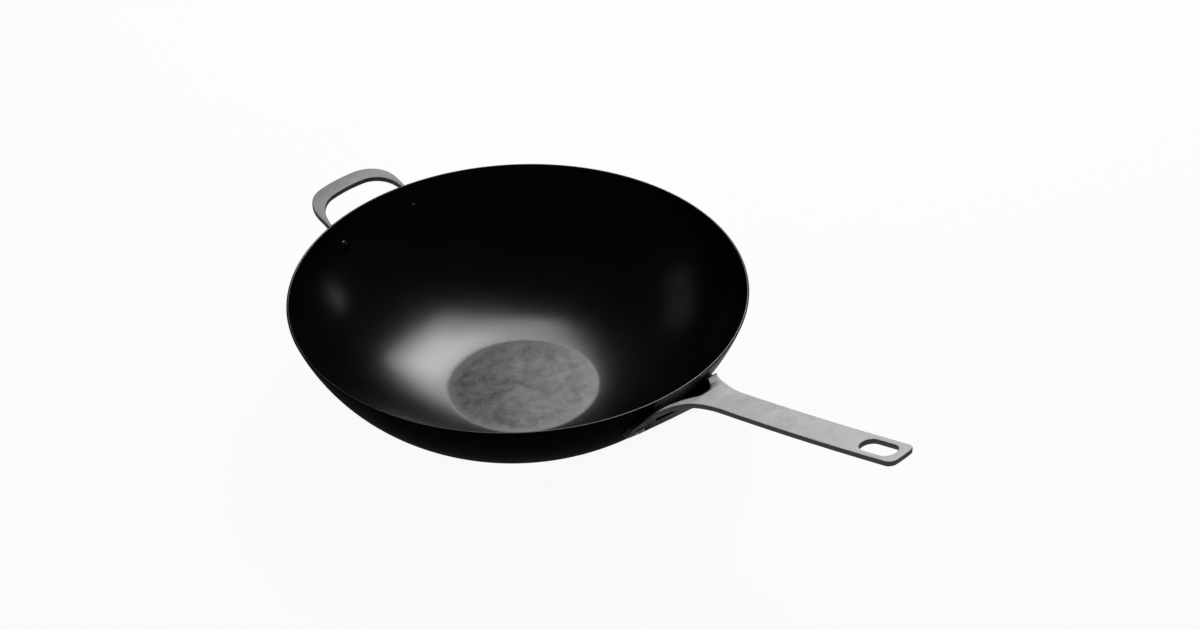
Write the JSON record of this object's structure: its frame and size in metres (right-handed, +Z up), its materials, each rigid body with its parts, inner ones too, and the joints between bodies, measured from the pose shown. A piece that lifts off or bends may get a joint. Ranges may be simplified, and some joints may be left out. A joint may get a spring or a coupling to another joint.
{
  "type": "flat-bottomed carbon steel wok",
  "caption": "Flat-bottomed carbon steel wok with a pressed bowl, a forked long handle with a hanging slot, and a loop helper handle, both riveted on.",
  "frame": {"origin": "centre of the underside of the flat base, where the wok rests on a hob", "axes": "+X along the long handle towards its tip, +Z up out of the bowl, the helper handle on the -X side, +Y to the left looking along the long handle from the bowl"},
  "size_m": [0.5993, 0.3563, 0.1456],
  "materials": {
    "seasoned_steel": "pressed carbon steel sheet, oil-seasoned to a satin black",
    "handle_steel": "tumbled bare steel, dull grey, darker as-cast side faces",
    "rivet_steel": "blackened steel, domed heads"
  },
  "bodies": {
    "root": {"wok_body": "seasoned_steel", "long_handle": "handle_steel", "helper_handle": "handle_steel", "long_handle_rivet_left": "rivet_steel", "long_handle_rivet_right": "rivet_steel", "helper_handle_rivet_left": "rivet_steel", "helper_handle_rivet_right": "rivet_steel"}
  },
  "joints": []
}
